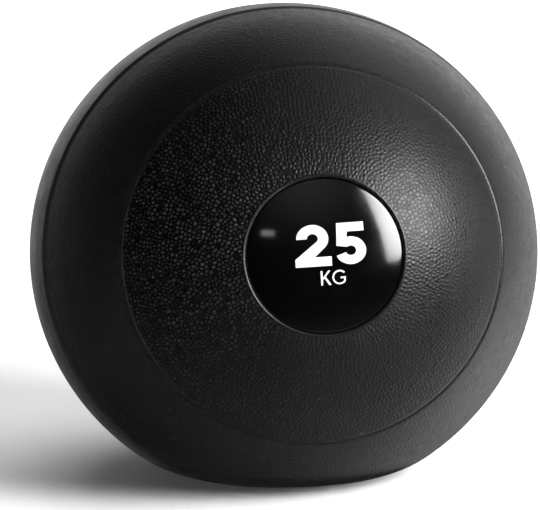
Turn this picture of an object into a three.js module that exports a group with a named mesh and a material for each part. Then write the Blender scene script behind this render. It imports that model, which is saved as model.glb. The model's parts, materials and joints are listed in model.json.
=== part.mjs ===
// A 25 kg slam ball, the kind of medicine ball that is thrown down and doesn't bounce.
// It stands on the floor at z = 0, settled by its own weight, with its front disc towards -Y.
//
// Every piece is drawn as a layer of a perfectly round ball, by lathe outlines in polar form:
// an angle from the pole and a distance from the ball's centre. settle() then gives all the
// layers the shape of the resting ball, a little wide, a little low and flat where it stands.

import * as THREE from 'three';

// ---- Driving dimensions, in millimetres and degrees ----

const ballRadius = 140; // the round ball, before it settles
const spread = 1.01; // how much wider the resting ball is
const slump = 0.988; // how much lower the resting ball is
const restHeight = 123; // from the floor to the centre of the resting ball
const baseBlend = 12; // half the height over which the side turns into the flat base

const poleTilt = 11; // how far the front disc looks up from the horizontal

const wallThickness = 9;
const bladderThickness = 1.6;
const bladderGap = 1.2; // between the shell and the bladder
const fillGap = 2; // between the bladder and the loose iron sand
const fillLevel = 70; // the sand's top, above the ball's centre
const fitGap = 0.3; // between pieces that touch
const bandGap = 0.9; // around the seam band, where glue would fill it

const discAngle = 18; // from the pole to the rim of the disc's recess
const discRecess = 4.5; // depth of the seat that holds the disc
const discSink = 1.2; // how far the disc's face lies below the shell
const lipRound = 1; // the rounded edge of the recess

const textureRingAngle = 48.4; // the fine groove between the two grain fields
const textureRingDepth = 0.9;
const textureRingWidth = 1.6;

const bandEdgeAngle = 78.6; // from the pole to the edge of the smooth band
const bandThickness = 4;
const seamGrooveDepth = 1.8;
const seamGrooveWidth = 2.6;

const fillerRadius = 7; // the hole the sand went in through
const plugHeadRadius = 10;

// Facets: lathe segments around the ball, and degrees between rows along an outline.
const segments = 48;
const rowStep = 6;
const insideSegments = 36;
const insideRowStep = 9;

// ---- Worked out from them ----

const innerRadius = ballRadius - wallThickness;
const seatRadius = ballRadius - discRecess;
const discFaceRadius = ballRadius - discSink;
const channelRadius = ballRadius - bandThickness - bandGap;
const bladderOuterRadius = innerRadius - bladderGap;
const bladderInnerRadius = bladderOuterRadius - bladderThickness;
const fillRadius = bladderInnerRadius - fillGap;

// ---- Outlines ----

const radians = THREE.MathUtils.degToRad;

/** The angle that a length along the ball's surface takes up. */
const angleOf = (length) => THREE.MathUtils.radToDeg(length / ballRadius);

const polar = (angle, radius) =>
  new THREE.Vector2(radius * Math.sin(radians(angle)), radius * Math.cos(radians(angle)));

/** Points along an arc about the ball's centre, both ends included. */
function arc(from, to, radius, step = rowStep) {
  const steps = Math.max(1, Math.round(Math.abs(to - from) / step));
  const at = (i) => from + ((to - from) * i) / steps;
  return Array.from({ length: steps + 1 }, (_, i) => polar(at(i), radius));
}

/** The outside of one half of the shell, from the seam to the rim of the disc's recess. */
function shellFace() {
  const halfRing = angleOf(textureRingWidth / 2);
  const bevel = angleOf(seamGrooveWidth / 2);
  return [
    polar(bandEdgeAngle, ballRadius - seamGrooveDepth),
    ...arc(bandEdgeAngle - bevel, textureRingAngle + halfRing, ballRadius),
    polar(textureRingAngle, ballRadius - textureRingDepth),
    ...arc(textureRingAngle - halfRing, discAngle + angleOf(lipRound), ballRadius),
    polar(discAngle, ballRadius - lipRound),
  ];
}

/**
 * Half of the shell. It turns about its pole, and its seat for the disc, its texture ring and
 * half of the channel for the seam band are part of it. openingRadius is a hole at the pole.
 */
function shellHalf(openingRadius) {
  const poleAngle = angleOf(openingRadius);
  const jointAngle = 90 - angleOf(fitGap / 2);
  const outline = [
    ...arc(poleAngle, jointAngle, innerRadius, insideRowStep),
    ...arc(jointAngle, bandEdgeAngle, channelRadius),
    ...shellFace(),
    ...arc(discAngle, poleAngle, seatRadius),
  ];
  if (openingRadius > 0) {
    outline.push(outline[0].clone());
  }
  return new THREE.LatheGeometry(outline, segments);
}

/** The smooth band in its channel over the joint of the two halves. */
function seamBand() {
  const edge = bandEdgeAngle + angleOf(bandGap);
  const bevel = angleOf(seamGrooveWidth / 2);
  const bottomRadius = ballRadius - bandThickness;
  const shoulderRadius = ballRadius - seamGrooveDepth;
  const outline = [
    ...arc(edge, 180 - edge, bottomRadius),
    polar(180 - edge, shoulderRadius),
    ...arc(180 - edge - bevel, edge + bevel, ballRadius),
    polar(edge, shoulderRadius),
    polar(edge, bottomRadius),
  ];
  return new THREE.LatheGeometry(outline, segments);
}

/** A glossy disc for the seat at a pole, with an opening for the plug's head or none. */
function poleDisc(openingRadius) {
  const poleAngle = angleOf(openingRadius);
  const rim = discAngle - angleOf(fitGap);
  const outline = [
    ...arc(poleAngle, rim, seatRadius + fitGap),
    polar(rim, discFaceRadius - lipRound),
    ...arc(rim - angleOf(lipRound), poleAngle, discFaceRadius),
  ];
  if (openingRadius > 0) {
    outline.push(outline[0].clone());
  }
  return new THREE.LatheGeometry(outline, segments);
}

/** The rubber plug: a flat head on the shell and a tapered stem that fills the filler hole. */
function fillerPlug() {
  const stemAngle = angleOf(fillerRadius - fitGap);
  const headAngle = angleOf(plugHeadRadius);
  const headUnderside = seatRadius + fitGap;
  const outline = [
    polar(0, bladderInnerRadius),
    polar(stemAngle, bladderInnerRadius),
    polar(stemAngle, headUnderside),
    polar(headAngle, headUnderside),
    polar(headAngle, discFaceRadius - lipRound),
    polar(headAngle - angleOf(lipRound), discFaceRadius),
    polar(0, discFaceRadius),
  ];
  return new THREE.LatheGeometry(outline, segments / 2);
}

/** The bag inside the shell, open at the filler hole. */
function innerBladder() {
  const neckAngle = angleOf(fillerRadius);
  const outline = [
    ...arc(180, neckAngle, bladderOuterRadius, insideRowStep),
    ...arc(neckAngle, 180, bladderInnerRadius, insideRowStep),
  ];
  return new THREE.LatheGeometry(outline, insideSegments);
}

/** The loose iron sand, up to its level top. It is round about the vertical, so it can turn. */
function ironSand() {
  const levelAngle = THREE.MathUtils.radToDeg(Math.acos(fillLevel / fillRadius));
  const side = arc(180, levelAngle, fillRadius, insideRowStep);
  return new THREE.LatheGeometry([...side, new THREE.Vector2(0, fillLevel)], insideSegments);
}

// ---- From the round ball to the resting one ----

/** Height after the base is pressed flat, with a smooth turn from the side into the base. */
function pressFlat(height) {
  const above = height + restHeight;
  if (above > baseBlend) {
    return height;
  }
  if (above < -baseBlend) {
    return -restHeight;
  }
  return -restHeight + (above + baseBlend) ** 2 / (4 * baseBlend);
}

/** Moves each point with the ball's surface above it, in proportion to its depth. */
function settle(geometry) {
  const points = geometry.getAttribute('position');
  const point = new THREE.Vector3();
  for (let i = 0; i < points.count; i += 1) {
    point.fromBufferAttribute(points, i);
    const share = point.length() / ballRadius;
    if (share > 0) {
      point.divideScalar(share).multiply(new THREE.Vector3(spread, spread, slump));
      point.z = pressFlat(point.z);
      points.setXYZ(i, point.x * share, point.y * share, point.z * share);
    }
  }
  return geometry;
}

// A lathe turns about +Y. These turns bring that axis to the front pole, the rear pole or +Z.
const towardsFront = (geometry) => geometry.rotateX(Math.PI - radians(poleTilt));
const towardsRear = (geometry) => geometry.rotateX(-radians(poleTilt));
const upright = (geometry) => geometry.rotateX(Math.PI / 2);

// ---- The assembly ----

function material(color, roughness, metalness = 0) {
  return new THREE.MeshStandardMaterial({ color, roughness, metalness });
}

const grainedPvc = material(0x1e1f21, 0.55);
const smoothPvc = material(0x2c2d2f, 0.45);
const glossPvc = material(0x08080a, 0.1);
const plugRubber = material(0x151515, 0.6);
const bladderRubber = material(0x33302e, 0.7);
const ironGrit = material(0x3d3a37, 0.8, 0.3);

const ball = new THREE.Group();
ball.position.z = restHeight;

function addPiece(name, geometry, pieceMaterial) {
  const mesh = new THREE.Mesh(settle(geometry), pieceMaterial);
  mesh.name = name;
  ball.add(mesh);
}

addPiece('front_shell', towardsFront(shellHalf(0)), grainedPvc);
addPiece('rear_shell', towardsRear(shellHalf(fillerRadius)), grainedPvc);
addPiece('seam_band', towardsFront(seamBand()), smoothPvc);
addPiece('front_disc', towardsFront(poleDisc(0)), glossPvc);
addPiece('rear_disc', towardsRear(poleDisc(plugHeadRadius + fitGap)), glossPvc);
addPiece('filler_plug', towardsRear(fillerPlug()), plugRubber);
addPiece('inner_bladder', towardsRear(innerBladder()), bladderRubber);
addPiece('iron_sand_fill', upright(ironSand()), ironGrit);

export default ball;
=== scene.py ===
import json
import math

import bmesh
import bpy
import numpy as np
from mathutils import Matrix, Vector


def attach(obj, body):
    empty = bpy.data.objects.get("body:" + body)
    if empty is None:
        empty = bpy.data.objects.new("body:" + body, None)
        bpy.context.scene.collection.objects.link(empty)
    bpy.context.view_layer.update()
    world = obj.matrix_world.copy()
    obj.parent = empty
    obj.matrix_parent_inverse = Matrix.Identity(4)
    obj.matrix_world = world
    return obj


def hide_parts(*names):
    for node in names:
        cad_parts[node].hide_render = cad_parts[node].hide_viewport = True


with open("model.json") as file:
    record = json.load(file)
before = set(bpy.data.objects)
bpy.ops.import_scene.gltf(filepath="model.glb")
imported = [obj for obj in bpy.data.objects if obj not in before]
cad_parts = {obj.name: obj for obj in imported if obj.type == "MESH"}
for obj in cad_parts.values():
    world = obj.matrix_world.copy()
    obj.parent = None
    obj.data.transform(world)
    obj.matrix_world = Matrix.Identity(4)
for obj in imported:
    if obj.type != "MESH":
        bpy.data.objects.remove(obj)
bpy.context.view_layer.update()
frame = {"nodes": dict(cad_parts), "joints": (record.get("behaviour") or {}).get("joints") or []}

# The ball's design, in metres, as in the CAD model: layers of a round ball that settle together.
ROUND_RADIUS = 0.140
SPREAD = 1.01  # how much wider the resting ball is
SLUMP = 0.988  # how much lower it is
BASE_BLEND = 0.012  # half the height over which the side turns into the flat base
POLE_TILT = math.radians(11)  # how far the front disc looks up
CENTRE = Vector(frame["joints"][0]["pos_m"])

# Places along the surface, as lengths from a pole.
DISC_RIM = ROUND_RADIUS * math.radians(18)
TEXTURE_RING = ROUND_RADIUS * math.radians(48.4)
BAND_EDGE = ROUND_RADIUS * math.radians(78.6)
EQUATOR = ROUND_RADIUS * math.radians(90)
FILLER_HOLE = 0.007
PLUG_HEAD = 0.010
PRY_GROOVE = 0.006  # round the middle of the plug's head

# Depths below the surface.
WALL = 0.009
SEAT_DEPTH = 0.0045
DISC_SINK = 0.0012
BAND_THICKNESS = 0.004
BAND_GAP = 0.0009
GROOVE_DEPTH = 0.0018
GROOVE_BEVEL = 0.0013  # on the band's side
SHELL_BEVEL = 0.0026  # on the shell's side
LIP_ROUND = 0.0015
FIT_GAP = 0.0003
STEM_DEPTH = WALL + 0.0028  # the plug's stem ends flush with the bladder's inside

# The pebble grain.
GRAIN_DEPTH = 0.00034
RUBBED = 0.62  # how much of that is gone in the middle of the handled side
HANDLED_SIDE = math.radians(65)  # turned this far from straight up, to the right of the disc
FRESH_DEPTH = 0.00062  # added in the middle of the fresh side
FRESH_SIDE = math.radians(-78)  # turned this far from straight up, to the left of the disc
GRAIN_PITCH = 0.0023
OUTER_SHARE = 0.5  # how deep the grain is outside the ring, against inside it
OUTER_FRESH = 0.2  # and how much of the fresh side's extra depth it gets
INNER_STRETCH = 1.05  # how much longer than wide the pebbles are inside the ring
OUTER_STRETCH = 1.35  # and outside it
JITTER = 0.42  # how far a pebble strays from the middle of its cell, in cells
SHORTEST = 0.72  # the height of the lowest pebbles, against the tallest
SLOPE_WIDTH = 0.75  # how soon a pebble reaches its full height, in cells
DISC_FADE = 0.0022  # the grain fades in over this length from the disc's rim
BAND_FADE = 0.004  # and out over this length before the band
SEED = 7

# The fine ring between the two grain fields, and the soft dents over the whole half.
RING_DEPTH = 0.0009
RING_WIDTH = 0.0012
RING_STEP = 0.0003  # how much lower the surface is outside the ring
STEP_WIDTH = 0.0004
RING_CLEAR = 0.0016  # the grain stays this far off the ring
DENT_DEPTH = 0.00006
DENT_WAVES = 7
DENT_LENGTH = 0.016
DENT_GROWTH = 0.003  # each wave is this much longer than the last
DENT_FADE = 0.012  # before the band

# Spacing of mesh rows along an outline, and columns around a pole.
GRAIN_ROWS = 0.00052
FINE_ROWS = 0.0008
COARSE_ROWS = 0.006
GRAIN_COLUMNS = 1260
BAND_COLUMNS = 720
DISC_COLUMNS = 360
PLUG_COLUMNS = 180
ROUNDING_POINTS = 7


# ---- Shapes ----


def settled(points):
    """Points of the round ball, n by 3 about its centre, moved to the resting ball in the frame."""
    distance = np.linalg.norm(points, axis=1)
    share = (distance / ROUND_RADIUS)[:, None]
    surface = points / np.maximum(share, 1e-9) * (SPREAD, SPREAD, SLUMP)
    above = surface[:, 2] + CENTRE.z
    blend = np.clip((above + BASE_BLEND) / (2 * BASE_BLEND), 0, None)
    surface[:, 2] = np.where(blend < 1, BASE_BLEND * blend**2, above) - CENTRE.z
    return surface * share + np.array(CENTRE)


def pole_axes(front):
    """(pole, up, right) for someone who faces the front disc, or the rear one."""
    side = 1 if front else -1
    pole = np.array((0, -math.cos(POLE_TILT), math.sin(POLE_TILT))) * side
    up = np.array((0, math.sin(POLE_TILT), math.cos(POLE_TILT)))
    return pole, up, np.array((side, 0, 0))


def on_ball(angle, around, radius, front=True):
    """Points at an angle from a pole, turned around it from straight up, before settling."""
    pole, up, right = pole_axes(front)
    flat = np.cos(around)[:, None] * up + np.sin(around)[:, None] * right
    return radius[:, None] * (np.cos(angle)[:, None] * pole + np.sin(angle)[:, None] * flat)


def outline(corners):
    """Points of an outline, each (length from the pole, depth).

    Each corner is (length, depth, rounding, spacing of the rows to the next corner).
    """
    points = []
    for i, (length, depth, rounding, _) in enumerate(corners):
        here = np.array((length, depth))
        before = np.array(corners[i - 1][:2]) if i > 0 else here
        after = np.array(corners[i + 1][:2]) if i + 1 < len(corners) else here
        bend = [here]
        if rounding > 0:
            start = here + (before - here) / np.linalg.norm(before - here) * rounding
            end = here + (after - here) / np.linalg.norm(after - here) * rounding
            steps = np.linspace(0, 1, ROUNDING_POINTS)[:, None]
            bend = list((1 - steps) ** 2 * start + 2 * steps * (1 - steps) * here + steps**2 * end)
        if points:
            stretch = np.linalg.norm(bend[0] - points[-1])
            rows = max(1, round(stretch / corners[i - 1][3]))
            points += [points[-1] + (bend[0] - points[-1]) * k / rows for k in range(1, rows)]
        points += bend
    return np.array(points)


def new_piece(name, points, faces):
    """A smooth mesh object with its faces turned outwards."""
    corners = np.array([face[:3] for face in faces])
    a, b, c = points[corners[:, 0]], points[corners[:, 1]], points[corners[:, 2]]
    outwards = np.einsum("ij,ij->i", a - points.mean(axis=0), np.cross(b - a, c - a)).sum()
    if outwards < 0:
        faces = [face[::-1] for face in faces]
    mesh = bpy.data.meshes.new(name)
    mesh.from_pydata(points.tolist(), [], faces)
    mesh.polygons.foreach_set("use_smooth", [True] * len(mesh.polygons))
    mesh.update()
    piece = bpy.data.objects.new(name, mesh)
    bpy.context.scene.collection.objects.link(piece)
    return piece


def lathe(name, profile, columns, front=True, closed=False, relief=None):
    """Turns an outline about a pole. A closed outline is a ring; an open one ends on the pole."""
    angle = profile[:, 0] / ROUND_RADIUS
    around = np.arange(columns) * 2 * math.pi / columns
    rows = len(profile)
    depth = np.repeat(profile[:, 1][:, None], columns, axis=1)
    marks = {}
    if relief is not None:
        drop, marks = relief(profile, around)
        depth = depth + drop
    points = on_ball(
        np.repeat(angle, columns),
        np.tile(around, rows),
        ROUND_RADIUS - depth.ravel(),
        front,
    )
    grid = np.arange(rows * columns).reshape(rows, columns)
    right = np.roll(grid, -1, axis=1)
    used = grid.ravel()
    if closed:
        below, below_right = np.roll(grid, -1, axis=0), np.roll(right, -1, axis=0)
        quads = np.stack([grid, right, below_right, below], axis=-1).reshape(-1, 4)
        faces = quads.tolist()
    else:
        quads = np.stack([grid[1:-2], right[1:-2], right[2:-1], grid[2:-1]], axis=-1)
        faces = quads.reshape(-1, 4).tolist()
        faces += [[grid[0, 0], right[1, k], grid[1, k]] for k in range(columns)]
        faces += [[grid[-1, 0], grid[-2, k], right[-2, k]] for k in range(columns)]
        used = np.concatenate([grid[0, :1], grid[1:-1].ravel(), grid[-1, :1]])
        place = np.zeros(rows * columns, dtype=int)
        place[used] = np.arange(len(used))
        faces = [[int(place[v]) for v in face] for face in faces]
    piece = new_piece(name, settled(points[used]), faces)
    for mark_name, values in marks.items():
        attribute = piece.data.attributes.new(mark_name, "FLOAT", "POINT")
        attribute.data.foreach_set("value", values.ravel()[used].astype(np.float32))
    return piece


def pebbles(length, around, pitch, stretch, random):
    """Height from 0, a pit, to 1, the top of a pebble, for each row and column.

    One jittered point per cell makes a pebble. stretch makes the pebbles longer away from the pole.
    """
    step = pitch * stretch
    row_count = int(length.max() / step) + 3
    row_radius = ROUND_RADIUS * np.sin((np.arange(row_count) + 0.5) * step / ROUND_RADIUS)
    cells = np.maximum(1, np.round(2 * math.pi * row_radius / pitch)).astype(int)
    jitter = random.uniform(-JITTER, JITTER, (row_count, cells.max(), 2))
    size = random.uniform(SHORTEST, 1.0, (row_count, cells.max()))
    turn = around / (2 * math.pi)
    reach = ROUND_RADIUS * np.sin(length / ROUND_RADIUS)[:, None]
    shape = (len(length), len(around))
    nearest, second, tallness = np.full(shape, 9.0), np.full(shape, 9.0), np.ones(shape)
    home = (length / step).astype(int)
    for row_shift in (-1, 0, 1):
        row = np.clip(home + row_shift, 0, row_count - 1)
        across = cells[row][:, None]
        first_cell = np.floor(turn[None, :] * across).astype(int)
        for cell_shift in (-1, 0, 1):
            cell = (first_cell + cell_shift) % across
            cell_jitter = jitter[row[:, None], cell]
            along = length[:, None] - (row[:, None] + 0.5 + cell_jitter[..., 0]) * step
            sideways = turn[None, :] - (cell + 0.5 + cell_jitter[..., 1]) / across
            sideways = (sideways - np.round(sideways)) * 2 * math.pi * reach
            distance = np.hypot(along / stretch, sideways) / pitch
            closer = distance < nearest
            second = np.where(closer, nearest, np.minimum(second, distance))
            tallness = np.where(closer, size[row[:, None], cell], tallness)
            nearest = np.where(closer, distance, nearest)
    rise = np.clip((second - nearest) / SLOPE_WIDTH, 0, 1)
    return np.sin(rise * math.pi / 2) * tallness


def bump_at(length, middle, width):
    """1 at the middle, falling away to 0 over about the width."""
    return np.exp(-(((length - middle) / width) ** 2))


def texture_ring(length):
    """Depth of the groove between the grain fields, and of the small step down beyond it."""
    groove = RING_DEPTH * bump_at(length, TEXTURE_RING, RING_WIDTH)
    return groove + RING_STEP / (1 + np.exp(-(length - TEXTURE_RING) / STEP_WIDTH))


def soft_dents(length, around, phases):
    """Depth of the slow unevenness of soft moulded rubber."""
    dents = sum(
        np.sin(length[:, None] / (DENT_LENGTH + DENT_GROWTH * k) + k) * np.sin((k + 2) * around + 5 * phase)
        for k, phase in enumerate(phases)
    )
    return DENT_DEPTH * (1 + np.clip(dents / 3, -1, 1))


def shell_relief(seed):
    """The relief of a shell half: pebbles in two fields, the fine ring between them, soft dents."""
    random = np.random.default_rng(seed)
    phases = random.normal(0, 1, (DENT_WAVES, 2))[:, 0]

    def relief(profile, around):
        length, depth = profile[:, 0], profile[:, 1]
        face = depth <= 0
        before_band = BAND_EDGE - length
        inside_ring = (length < TEXTURE_RING)[:, None]

        inner = pebbles(length, around, GRAIN_PITCH, INNER_STRETCH, random)
        outer = pebbles(length, around, GRAIN_PITCH, OUTER_STRETCH, random)
        height = np.where(inside_ring, inner, 1 - (1 - outer) * OUTER_SHARE)
        fade = np.clip((length - DISC_RIM) / DISC_FADE, 0, 1) * np.clip(before_band / BAND_FADE, 0, 1)
        fade = fade * (1 - bump_at(length, TEXTURE_RING, RING_CLEAR)) * face
        height = 1 - (1 - height) * fade[:, None]

        fresh = np.clip(np.cos(around - FRESH_SIDE), 0, 1) ** 2
        fresh = np.where(inside_ring, fresh, OUTER_FRESH * fresh)
        handled = np.clip(np.cos(around - HANDLED_SIDE), 0, 1) ** 2
        grain_depth = GRAIN_DEPTH * (1 - RUBBED * handled) + FRESH_DEPTH * fresh

        smooth = (face * np.clip(before_band / DENT_FADE, 0, 1))[:, None]
        large = (texture_ring(length)[:, None] + soft_dents(length, around, phases)) * smooth
        return grain_depth * (1 - height) + large, {"grain": height, "fresh": fresh}

    return relief


def shell_half(name, front, hole, seed):
    """Half of the shell, from its inside out over the seam edge to the disc's seat."""
    joint = EQUATOR - FIT_GAP / 2
    channel = BAND_THICKNESS + BAND_GAP
    corners = [
        (hole, WALL, 0, COARSE_ROWS),
        (joint, WALL, 0.0005, FINE_ROWS * 3),
        (joint, channel, 0.0005, COARSE_ROWS / 2),
        (BAND_EDGE, channel, 0.0004, FINE_ROWS),
        (BAND_EDGE, GROOVE_DEPTH, 0.0002, GRAIN_ROWS),
        (BAND_EDGE - SHELL_BEVEL, 0, 0.0008, GRAIN_ROWS),
        (DISC_RIM, 0, LIP_ROUND, FINE_ROWS),
        (DISC_RIM, SEAT_DEPTH, 0.0004, COARSE_ROWS / 2),
        (hole, SEAT_DEPTH, 0, 0.002),
    ]
    relief = shell_relief(seed)
    return lathe(name, outline(corners), GRAIN_COLUMNS, front, closed=hole > 0, relief=relief)


def seam_band():
    """The smooth band, with bevelled shoulders. Its outline ends a little short of its start."""
    near, far = BAND_EDGE + BAND_GAP, 2 * EQUATOR - BAND_EDGE - BAND_GAP
    corners = [
        (near, BAND_THICKNESS, 0, COARSE_ROWS / 2),
        (far, BAND_THICKNESS, 0.0003, FINE_ROWS),
        (far, GROOVE_DEPTH, 0.0002, FINE_ROWS),
        (far - GROOVE_BEVEL, 0, 0.0006, FINE_ROWS * 2),
        (near + GROOVE_BEVEL, 0, 0.0006, FINE_ROWS),
        (near, GROOVE_DEPTH, 0.0002, FINE_ROWS),
        (near, BAND_THICKNESS * 0.9, 0, FINE_ROWS),
    ]
    return lathe("seam_band_smooth", outline(corners), BAND_COLUMNS, closed=True)


def pole_disc(name, front, hole):
    """A domed disc with a soft rim, in its seat."""
    rim = DISC_RIM - FIT_GAP
    corners = [
        (hole, SEAT_DEPTH - FIT_GAP, 0, COARSE_ROWS),
        (rim, SEAT_DEPTH - FIT_GAP, 0.0003, FINE_ROWS),
        (rim, DISC_SINK, 0.0011, FINE_ROWS * 2),
        (hole, DISC_SINK, 0.0006 if hole else 0, FINE_ROWS),
    ]
    if hole:
        corners.append((hole, SEAT_DEPTH - 2 * FIT_GAP, 0, FINE_ROWS))
    return lathe(name, outline(corners), DISC_COLUMNS, front, closed=hole > 0)


def filler_plug():
    """The plug's head, with a round groove to pry it by, and its stem."""
    stem = FILLER_HOLE - FIT_GAP
    under = SEAT_DEPTH - FIT_GAP
    groove_floor = DISC_SINK + 0.0009
    corners = [
        (0, STEM_DEPTH, 0, FINE_ROWS * 2),
        (stem, STEM_DEPTH, 0.0006, FINE_ROWS * 2),
        (stem, under, 0.0002, FINE_ROWS),
        (PLUG_HEAD, under, 0.0003, FINE_ROWS),
        (PLUG_HEAD, DISC_SINK, 0.0008, FINE_ROWS),
        (PRY_GROOVE + 0.0012, DISC_SINK, 0.0004, FINE_ROWS / 2),
        (PRY_GROOVE + 0.0006, groove_floor, 0.0003, FINE_ROWS / 2),
        (PRY_GROOVE - 0.0006, groove_floor, 0.0003, FINE_ROWS / 2),
        (PRY_GROOVE - 0.0012, DISC_SINK, 0.0004, FINE_ROWS / 2),
        (0, DISC_SINK, 0, FINE_ROWS),
    ]
    return lathe("filler_plug_rubber", outline(corners), PLUG_COLUMNS, front=False)


# ---- The weight mark, in plain strokes of its own ----


def arc(centre, radius, start, end):
    """Points along a circle, from one angle to another, in degrees."""
    count = max(3, round(abs(end - start) / 6))
    angles = np.radians(np.linspace(start, end, count))
    return [(centre[0] + radius * math.cos(a), centre[1] + radius * math.sin(a)) for a in angles]


# Each glyph is its width and its outline, on a height of 10.
GLYPHS = {
    "2": (7.6, [(0, 0), (7.6, 0), (7.6, 2.2), (4.1, 2.2)]
          + arc((3.85, 6.65), 3.35, -38, 180) + arc((3.85, 6.65), 1.15, 180, -42) + [(0, 1.9)]),
    "5": (7.0, [(1.0, 10), (6.8, 10), (6.8, 7.85), (3.1, 7.85)]
          + arc((3.7, 3.3), 3.3, 103, -160) + arc((3.7, 3.3), 1.15, -160, 130) + [(0.7, 4.6)]),
    "K": (7.0, [(0, 0), (1.3, 0), (1.3, 3.6), (2.5, 4.9), (5.4, 0), (7.0, 0), (3.4, 5.9), (6.8, 10),
                (5.2, 10), (1.3, 5.2), (1.3, 10), (0, 10)]),
    "G": (9.0, arc((4.6, 5), 5, 42, 322) + [(8.9, 5.2), (5.2, 5.2), (5.2, 4.1), (7.6, 4.1), (7.6, 2.3)]
          + arc((4.6, 5), 3.9, 314, 42)),
}
MARK_THICKNESS = 0.00012
MARK_LIFT = 0.00002  # the ink's underside, above the disc
MARK_TURN = math.radians(2.2)  # the mark sits a little turned on the disc
MARK_GRID = 0.0012  # the flat mark is cut this fine, so that it bends with the disc


def mark(name, text, height, breadth, centre, gap):
    """A mark printed on the front disc.

    breadth widens the glyphs, centre is (right, up) from the pole before the turn, and gap is
    the space between glyphs, on a height of 10.
    """
    unit = height / 10
    width = sum(GLYPHS[letter][0] for letter in text) + gap * (len(text) - 1)
    shape = bmesh.new()
    start = -width / 2
    for letter in text:
        advance, points = GLYPHS[letter]
        flat = [((x + start) * unit * breadth, (y - 5) * unit, 0) for x, y in points]
        shape.faces.new([shape.verts.new(point) for point in flat]).normal_update()
        start += advance + gap
    bmesh.ops.triangulate(shape, faces=shape.faces[:])
    reach = width * unit * breadth
    for axis in (Vector((1, 0, 0)), Vector((0, 1, 0))):
        for cut in np.arange(-reach, reach, MARK_GRID):
            everything = shape.verts[:] + shape.edges[:] + shape.faces[:]
            bmesh.ops.bisect_plane(shape, geom=everything, plane_co=axis * cut, plane_no=axis)
    thick = bmesh.ops.extrude_face_region(shape, geom=shape.faces[:])
    for vert in [v for v in thick["geom"] if isinstance(v, bmesh.types.BMVert)]:
        vert.co.z = MARK_THICKNESS
    bmesh.ops.recalc_face_normals(shape, faces=shape.faces[:])
    mesh = bpy.data.meshes.new(name)
    shape.to_mesh(mesh)
    shape.free()
    x, y, thickness = (np.array([vert.co for vert in mesh.vertices]) + (*centre, 0)).T
    right = x * math.cos(MARK_TURN) - y * math.sin(MARK_TURN)
    up = x * math.sin(MARK_TURN) + y * math.cos(MARK_TURN)
    radius = ROUND_RADIUS - DISC_SINK + MARK_LIFT + thickness
    bent = on_ball(np.hypot(right, up) / ROUND_RADIUS, np.arctan2(right, up), radius)
    mesh.vertices.foreach_set("co", settled(bent).ravel())
    mesh.update()
    piece = bpy.data.objects.new(name, mesh)
    bpy.context.scene.collection.objects.link(piece)
    return piece


# ---- Materials ----


class Nodes:
    """A short way to write a material's node tree."""

    def __init__(self, name):
        self.material = bpy.data.materials.new(name)
        self.material.use_nodes = True
        self.tree = self.material.node_tree
        self.shader = self.tree.nodes["Principled BSDF"]
        self.place = self.add("ShaderNodeTexCoord").outputs["Object"]

    def add(self, kind, **settings):
        node = self.tree.nodes.new(kind)
        for key, value in settings.items():
            setattr(node, key, value)
        return node

    def join(self, source, target):
        self.tree.links.new(source, target)

    def noise(self, scale, detail=3.0, roughness=0.55, place=None):
        """Noise about 1/scale metres across, from 0 to 1."""
        node = self.add("ShaderNodeTexNoise")
        node.inputs["Scale"].default_value = scale
        node.inputs["Detail"].default_value = detail
        node.inputs["Roughness"].default_value = roughness
        self.join(place or self.place, node.inputs["Vector"])
        return node.outputs["Fac"]

    def ramp(self, value, low, high, to_low=0.0, to_high=1.0):
        """value from low to high mapped to to_low to to_high, and held there."""
        node = self.add("ShaderNodeMapRange", clamp=True)
        limits = zip(("From Min", "From Max", "To Min", "To Max"), (low, high, to_low, to_high))
        for socket, limit in limits:
            node.inputs[socket].default_value = limit
        self.join(value, node.inputs["Value"])
        return node.outputs["Result"]

    def math(self, operation, a, b):
        node = self.add("ShaderNodeMath", operation=operation)
        for socket, value in zip(node.inputs, (a, b)):
            if isinstance(value, (int, float)):
                socket.default_value = value
            else:
                self.join(value, socket)
        return node.outputs[0]

    def mix(self, factor, a, b):
        """Colour a where the factor is 0, b where it is 1."""
        node = self.add("ShaderNodeMix", data_type="RGBA")
        self.join(factor, node.inputs["Factor"])
        for socket, colour in zip((node.inputs[6], node.inputs[7]), (a, b)):
            if isinstance(colour, tuple):
                socket.default_value = (*colour, 1)
            else:
                self.join(colour, socket)
        return node.outputs[2]

    def bump(self, height, distance, strength=1.0, under=None):
        node = self.add("ShaderNodeBump")
        node.inputs["Distance"].default_value = distance
        node.inputs["Strength"].default_value = strength
        self.join(height, node.inputs["Height"])
        if under is not None:
            self.join(under, node.inputs["Normal"])
        return node.outputs["Normal"]

    def finish(self, colour, roughness, normal):
        self.join(colour, self.shader.inputs["Base Color"])
        self.join(roughness, self.shader.inputs["Roughness"])
        self.join(normal, self.shader.inputs["Normal"])
        return self.material


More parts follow.
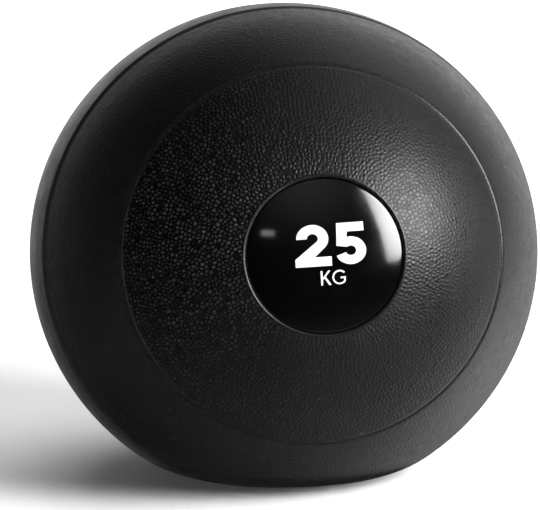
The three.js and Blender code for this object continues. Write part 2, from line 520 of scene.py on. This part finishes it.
def grained_rubber():
    """Moulded black PVC: dull pits painted darker as shade where the grain is fresh, smoother pebble tops,
    and tops painted lighter, a little dusting everywhere and painted glints where the grain is fresh.
    """
    n = Nodes("grained_shell")
    top = n.add("ShaderNodeAttribute", attribute_name="grain").outputs["Fac"]
    patches = n.noise(14, 4)
    fresh = n.add("ShaderNodeAttribute", attribute_name="fresh").outputs["Fac"]
    base = n.mix(n.ramp(patches, 0.35, 0.68), (0.0038, 0.0039, 0.0041), (0.0072, 0.0074, 0.0078))
    # Painted shade: the pits are coloured darker where the grain is fresh.
    pit = n.math("MULTIPLY", n.ramp(top, 0.8, 0.3), fresh)
    pits_painted_dark = n.mix(pit, base, (0.0008, 0.0008, 0.0009))
    uneven = n.ramp(n.noise(60, 5, 0.65), 0.3, 0.65, 0.3, 1.0)
    # Pebble tops painted lighter: a little dusting everywhere, and mostly painted glints where the grain is
    # fresh.
    dust_and_glint_tops = n.math("MULTIPLY", n.ramp(top, 0.45, 0.95), uneven)
    dust_and_glint_share = n.math("MULTIPLY", dust_and_glint_tops, n.ramp(fresh, 0, 1, 0.05, 0.9))
    # The light colour of the painted glints and the dusting on the pebble tops.
    colour = n.mix(dust_and_glint_share, pits_painted_dark, (0.050, 0.051, 0.053))
    worn = n.ramp(n.noise(180, 3), 0.3, 0.7, -0.05, 0.06)
    shine = n.math("ADD", n.ramp(top, 0.2, 0.9, 0.47, 0.28), worn)
    roughness = n.math("ADD", shine, n.ramp(patches, 0.3, 0.7, -0.03, 0.05))
    fine = n.bump(n.noise(2400, 2), 0.00004, 0.5)
    normal = n.bump(n.noise(700, 3, 0.6), 0.00012, 0.6, under=fine)
    n.shader.inputs["Specular IOR Level"].default_value = 0.4
    return n.finish(colour, roughness, normal)


def smooth_rubber():
    """The band: satin PVC from a smooth part of the mould, with faint scuffs."""
    n = Nodes("smooth_band")
    patches = n.noise(18, 4)
    scuffs = n.ramp(n.noise(230, 6, 0.7), 0.56, 0.75)
    base = n.mix(n.ramp(patches, 0.35, 0.68), (0.020, 0.0203, 0.0212), (0.030, 0.0304, 0.0315))
    colour = n.mix(n.math("MULTIPLY", scuffs, 0.4), base, (0.07, 0.07, 0.072))
    satin = n.ramp(n.noise(90, 4), 0.3, 0.7, 0.34, 0.46)
    roughness = n.math("ADD", satin, n.math("MULTIPLY", scuffs, 0.12))
    fine = n.bump(n.noise(1800, 2), 0.00003, 0.5)
    normal = n.bump(n.noise(420, 3), 0.00008, 0.5, under=fine)
    return n.finish(colour, roughness, normal)


def gloss_plastic():
    """The discs: near-black gloss with faint handling haze and a few fine scratches."""
    n = Nodes("gloss_disc")
    haze = n.noise(45, 5, 0.6)
    colour = n.mix(n.ramp(haze, 0.4, 0.75), (0.0008, 0.0008, 0.0009), (0.0020, 0.0020, 0.0023))
    stretched = n.add("ShaderNodeMapping")
    stretched.inputs["Scale"].default_value = (1.0, 1.0, 14.0)
    stretched.inputs["Rotation"].default_value = (0.4, 0.2, 0.6)
    n.join(n.place, stretched.inputs["Vector"])
    scratches = n.ramp(n.noise(260, 2, place=stretched.outputs["Vector"]), 0.66, 0.8)
    gloss = n.ramp(haze, 0.4, 0.8, 0.09, 0.17)
    roughness = n.math("ADD", gloss, n.math("MULTIPLY", scratches, 0.1))
    normal = n.bump(n.noise(55, 2), 0.00012, 0.35)
    n.shader.inputs["Coat Weight"].default_value = 0.6
    n.shader.inputs["Coat Roughness"].default_value = 0.06
    return n.finish(colour, roughness, normal)


def white_ink():
    """The printed mark: pad-printed white, a little thin in places."""
    n = Nodes("white_ink")
    thin = n.ramp(n.noise(900, 4, 0.7), 0.62, 0.8)
    colour = n.mix(thin, (0.86, 0.86, 0.85), (0.55, 0.55, 0.55))
    roughness = n.ramp(n.noise(300, 3), 0.3, 0.7, 0.38, 0.52)
    return n.finish(colour, roughness, n.bump(n.noise(1500, 2), 0.00002, 0.5))


def plug_rubber():
    """Matt black rubber, a little greyed in patches."""
    n = Nodes("plug_rubber")
    greyed = n.ramp(n.noise(260, 4), 0.4, 0.7)
    colour = n.mix(greyed, (0.010, 0.010, 0.011), (0.028, 0.027, 0.027))
    roughness = n.ramp(n.noise(150, 3), 0.3, 0.7, 0.5, 0.66)
    return n.finish(colour, roughness, n.bump(n.noise(1300, 3), 0.00008, 0.6))


def bladder_rubber():
    """Butyl rubber, talc-dusted, with a leathery skin."""
    n = Nodes("bladder_rubber")
    talc = n.ramp(n.noise(35, 6, 0.7), 0.45, 0.75)
    colour = n.mix(talc, (0.035, 0.031, 0.029), (0.16, 0.15, 0.14))
    return n.finish(colour, n.ramp(talc, 0, 1, 0.6, 0.9), n.bump(n.noise(500, 4), 0.0003, 0.6))


def iron_sand():
    """Loose black iron sand with rust-brown and bright grains."""
    n = Nodes("iron_sand")
    grains = n.add("ShaderNodeTexVoronoi")
    grains.inputs["Scale"].default_value = 900
    n.join(n.place, grains.inputs["Vector"])
    speck = n.add("ShaderNodeSeparateColor")
    n.join(grains.outputs["Color"], speck.inputs["Color"])
    dark = n.mix(speck.outputs[0], (0.02, 0.018, 0.017), (0.11, 0.085, 0.065))
    colour = n.mix(n.ramp(speck.outputs[1], 0.9, 0.95), dark, (0.35, 0.33, 0.31))
    roughness = n.ramp(speck.outputs[2], 0, 1, 0.35, 0.9)
    return n.finish(colour, roughness, n.bump(grains.outputs["Distance"], 0.0006))


def give(piece, material):
    piece.data.materials.clear()
    piece.data.materials.append(material)


def show_as(piece, body, slot, material, *nodes):
    """Gives a piece its material, hangs it under its body and hides the CAD nodes it stands for."""
    give(piece, material)
    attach(piece, body)
    if nodes:
        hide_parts(*nodes)


def repaint(node, material):
    """Gives a CAD node that stays a better material."""
    for material_slot in frame["nodes"][node].material_slots:
        material_slot.material = material


# ---- The studio ----

VIEW_AZIMUTH = math.radians(-9.6)
VIEW_ELEVATION = math.radians(12)
CAMERA_DISTANCE = 30 * ROUND_RADIUS * SPREAD
PICTURE_WIDTH = 0.3008  # what the picture takes in at the ball
AIM_LEFT, AIM_DOWN = 0.0076, 0.0021  # the ball stands a little right of and above the middle


def direction(azimuth, elevation):
    """From the ball towards a place in the studio. Azimuth 0 is in front of the disc."""
    flat = math.cos(elevation)
    return Vector((math.sin(azimuth) * flat, -math.cos(azimuth) * flat, math.sin(elevation)))


def camera():
    back = direction(VIEW_AZIMUTH, VIEW_ELEVATION)
    right = Vector((math.cos(VIEW_AZIMUTH), math.sin(VIEW_AZIMUTH), 0))
    up = back.cross(right)
    aim = CENTRE - right * AIM_LEFT - up * AIM_DOWN
    data = bpy.data.cameras.new("camera")
    data.lens = data.sensor_width * CAMERA_DISTANCE / PICTURE_WIDTH
    data.clip_end = 100
    eye = bpy.data.objects.new("camera", data)
    turn = Matrix((right, up, back)).transposed().to_4x4()
    eye.matrix_world = Matrix.Translation(aim + back * CAMERA_DISTANCE) @ turn
    bpy.context.scene.collection.objects.link(eye)
    bpy.context.scene.camera = eye


SOFT_EDGE = 0.22  # the share of a softbox's width over which each edge brightens


def soften_edges(light):
    """Dims a softbox towards its edges, as its cloth does."""
    light.use_nodes = True
    tree = light.node_tree
    across = tree.nodes.new("ShaderNodeNewGeometry").outputs["Parametric"]
    split = tree.nodes.new("ShaderNodeSeparateXYZ")
    tree.links.new(across, split.inputs[0])
    product = tree.nodes.new("ShaderNodeMath")
    product.operation = "MULTIPLY"
    for axis, factor in zip(("X", "Y"), product.inputs):
        edge = tree.nodes.new("ShaderNodeFloatCurve")
        tree.links.new(split.outputs[axis], edge.inputs["Value"])
        curve = edge.mapping.curves[0]
        curve.points[0].location = (0, 0)
        curve.points[1].location = (1, 0)
        curve.points.new(SOFT_EDGE, 1)
        curve.points.new(1 - SOFT_EDGE, 1)
        edge.mapping.update()
        tree.links.new(edge.outputs[0], factor)
    tree.links.new(product.outputs[0], tree.nodes["Emission"].inputs["Strength"])


def softbox(name, azimuth, elevation, distance, width, height, power):
    """A rectangular soft light that faces the ball. Angles in degrees."""
    towards = direction(math.radians(azimuth), math.radians(elevation))
    data = bpy.data.lights.new(name, "AREA")
    data.shape = "RECTANGLE"
    data.size, data.size_y, data.energy = width, height, power
    soften_edges(data)
    light = bpy.data.objects.new(name, data)
    light.location = CENTRE + towards * distance
    light.rotation_euler = towards.to_track_quat("Z", "Y").to_euler()
    light.visible_camera = False
    bpy.context.scene.collection.objects.link(light)
    return light


def only_lights(light, piece):
    """Keeps a light off everything but one piece. The ball still shades that piece."""
    receivers = bpy.data.collections.new(light.name + "_receivers")
    receivers.objects.link(piece)
    light.light_linking.receiver_collection = receivers


# What the ball mirrors of the studio, as soft glows: azimuth, elevation, tightness, strength.
# The ones below the horizon are the white floor, which is hidden from mirror rays.
GLOWS = (
    (150, 12, 8, 1.1),  # the white wall behind, on the right
    (120, 50, 8, 0.55),  # and its upper part
    (-172, 2, 20, 0.95),  # the wall straight behind, which the band mirrors at the left edge
    (-175, 40, 12, 0.03),  # and above that
    (110, -30, 8, 1.7),  # the lit floor on the right
    (-145, 0, 8, 0.08),  # the shaded side on the left
    (-90, -30, 8, 0.08),  # and its floor
    (35, -58, 10, 0.3),  # and in front
    (0, -75, 8, 0.25),  # the floor under the ball
    (5, 48, 14, 0.25),  # the ceiling
)


def surroundings():
    """The glows, dark between them, and plain white wherever the camera looks."""
    world = bpy.data.worlds.new("studio")
    world.use_nodes = True
    tree = world.node_tree
    sky = tree.nodes["Background"]
    looking = tree.nodes.new("ShaderNodeTexCoord").outputs["Generated"]

    def math_node(operation, a, b=0.0):
        node = tree.nodes.new("ShaderNodeMath")
        node.operation = operation
        for socket, value in zip(node.inputs, (a, b)):
            if isinstance(value, (int, float)):
                socket.default_value = value
            else:
                tree.links.new(value, socket)
        return node.outputs[0]

    total = 0.0
    for azimuth, elevation, tightness, strength in GLOWS:
        towards = tree.nodes.new("ShaderNodeVectorMath")
        towards.operation = "DOT_PRODUCT"
        towards.inputs[1].default_value = direction(math.radians(azimuth), math.radians(elevation))
        tree.links.new(looking, towards.inputs[0])
        away = math_node("SUBTRACT", towards.outputs["Value"], 1.0)
        glow = math_node("EXPONENT", math_node("MULTIPLY", away, tightness))
        total = math_node("ADD", math_node("MULTIPLY", glow, strength), total)
    seen = tree.nodes.new("ShaderNodeLightPath").outputs["Is Camera Ray"]
    tree.links.new(math_node("MAXIMUM", total, seen), sky.inputs["Strength"])
    sky.inputs["Color"].default_value = (1, 1, 1, 1)
    bpy.context.scene.world = world


FLOOR_REACH = 14  # half the floor's width
FLOOR_GLOW = 0.04  # painted light: the floor glows this much by itself near the ball
GLOW_NEAR, GLOW_FAR = 0.5, 2.0  # between these distances from the ball the glow grows to white
SHADED_REACH = 0.078  # how far the painted shade under the ball reaches
SHADED_SIDES = 48


def staged_sheet(name, corners, n, colour):
    """A level matt sheet with one of the floor's materials."""
    mesh = bpy.data.meshes.new(name)
    mesh.from_pydata(corners, [], [range(len(corners))])
    piece = bpy.data.objects.new(name, mesh)
    bpy.context.scene.collection.objects.link(piece)
    roughness = n.ramp(n.noise(9), 0.3, 0.7, 0.85, 0.95)
    give(piece, n.finish(colour, roughness, n.bump(n.noise(600), 0.0001, 0.2)))
    return piece


def floor():
    """A plain pale floor, level with the flat base, with painted light: it glows by itself, faintly near
    the ball and up to white far off. Mirror rays meet the glows in its place.
    """
    n = Nodes("pale_floor")
    colour = n.mix(n.noise(3, 3), (0.86, 0.86, 0.86), (0.89, 0.89, 0.89))
    distance = n.add("ShaderNodeVectorMath", operation="LENGTH")
    n.join(n.place, distance.inputs[0])
    # Painted light: the floor's own glow, faint near the ball and white far from it.
    glow = n.ramp(distance.outputs["Value"], GLOW_NEAR, GLOW_FAR, FLOOR_GLOW, 1.0)
    n.join(glow, n.shader.inputs["Emission Strength"])
    n.shader.inputs["Emission Color"].default_value = (1, 1, 1, 1)
    signs = ((-1, -1), (1, -1), (1, 1), (-1, 1))
    corners = [(x * FLOOR_REACH, y * FLOOR_REACH, 0) for x, y in signs]
    piece = staged_sheet("floor", corners, n, colour)
    piece.visible_glossy = False
    return piece


def painted_floor_shade():
    """A dark sheet of painted shade on the floor under the ball, which only mirror rays see."""
    n = Nodes("shaded_floor")
    # Painted shade: coloured dark grey where the ball shades the floor.
    colour = n.mix(n.noise(20, 3), (0.11, 0.11, 0.11), (0.14, 0.14, 0.14))
    turns = np.arange(SHADED_SIDES) * 2 * math.pi / SHADED_SIDES
    rim = [(SHADED_REACH * math.cos(turn), SHADED_REACH * math.sin(turn), 0) for turn in turns]
    piece = staged_sheet("painted_floor_shade", rim, n, colour)
    piece.visible_camera = piece.visible_diffuse = piece.visible_shadow = False


# ---- The scene ----

camera()
surroundings()
paper = floor()
painted_floor_shade()
softbox("key", azimuth=51, elevation=22, distance=1.5, width=0.84, height=0.95, power=36)
softbox("window", azimuth=-17, elevation=21, distance=2.0, width=0.22, height=0.10, power=0.15)
overhead = softbox("overhead", azimuth=145, elevation=62, distance=3.4, width=4.5, height=4.0, power=122)
only_lights(overhead, paper)

bpy.context.scene.view_settings.view_transform = "Standard"

grained = grained_rubber()
gloss = gloss_plastic()
ink = white_ink()

front_half = shell_half("front_shell_grained", front=True, hole=0, seed=SEED)
rear_half = shell_half("rear_shell_grained", front=False, hole=FILLER_HOLE, seed=SEED + 1)
band = seam_band()
front_disc = pole_disc("front_disc_gloss", front=True, hole=0)
rear_disc = pole_disc("rear_disc_gloss", front=False, hole=PLUG_HEAD + FIT_GAP)
plug = filler_plug()
number = mark("weight_number", "25", height=0.0230, breadth=1.13, centre=(0.0025, 0.0061), gap=0.5)
unit = mark("weight_unit", "KG", height=0.0080, breadth=1.0, centre=(0.0030, -0.0121), gap=1.3)

show_as(front_half, "ball", "grained_shell", grained, "front_shell")
show_as(rear_half, "ball", "grained_shell", grained, "rear_shell")
show_as(band, "ball", "smooth_band", smooth_rubber(), "seam_band")
show_as(front_disc, "ball", "gloss_disc", gloss, "front_disc")
show_as(rear_disc, "ball", "gloss_disc", gloss, "rear_disc")
show_as(plug, "ball", "plug_rubber", plug_rubber(), "filler_plug")
show_as(number, "ball", "gloss_disc", ink)
show_as(unit, "ball", "gloss_disc", ink)
repaint("inner_bladder", bladder_rubber())
repaint("iron_sand_fill", iron_sand())
